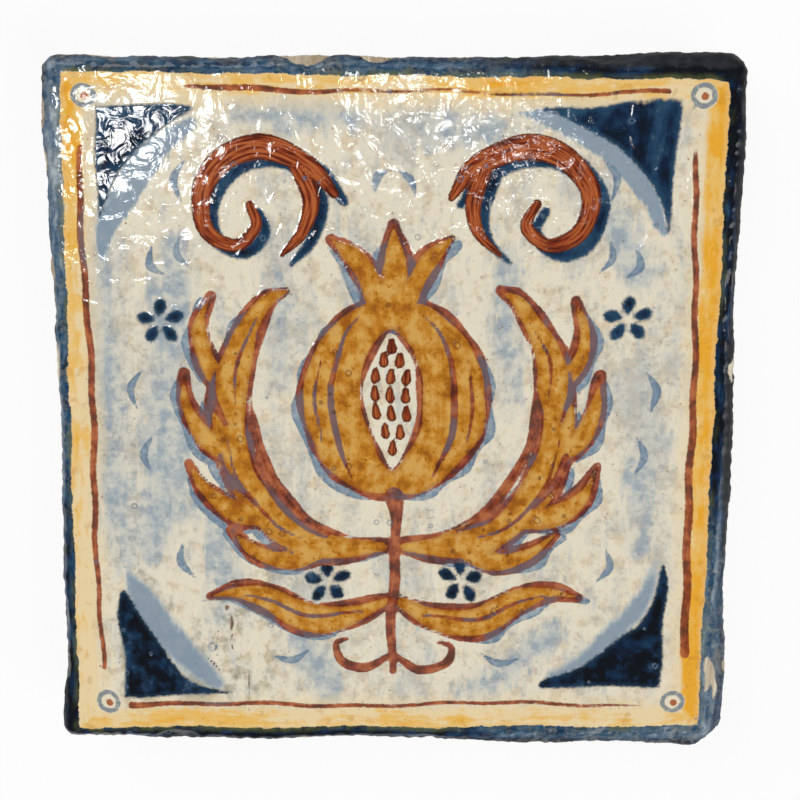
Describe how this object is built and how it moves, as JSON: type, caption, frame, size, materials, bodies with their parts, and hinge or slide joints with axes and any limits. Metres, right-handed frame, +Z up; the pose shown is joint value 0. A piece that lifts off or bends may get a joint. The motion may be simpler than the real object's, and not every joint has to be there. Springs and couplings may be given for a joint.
{
  "type": "travertine tile",
  "caption": "Square tumbled travertine tile with worn rounded edges, open bedding voids on its sawn back, and a glazed hand-painted face.",
  "frame": {"origin": "middle of the tile's footprint, on its sawn back", "axes": "+Z up through the glazed face, +Y towards the top of the painted picture, +X to the picture's right"},
  "size_m": [0.1008, 0.103, 0.01],
  "materials": {
    "glazed_travertine": "gloss"
  },
  "bodies": {
    "root": {"travertine_tile": "glazed_travertine"}
  },
  "joints": []
}
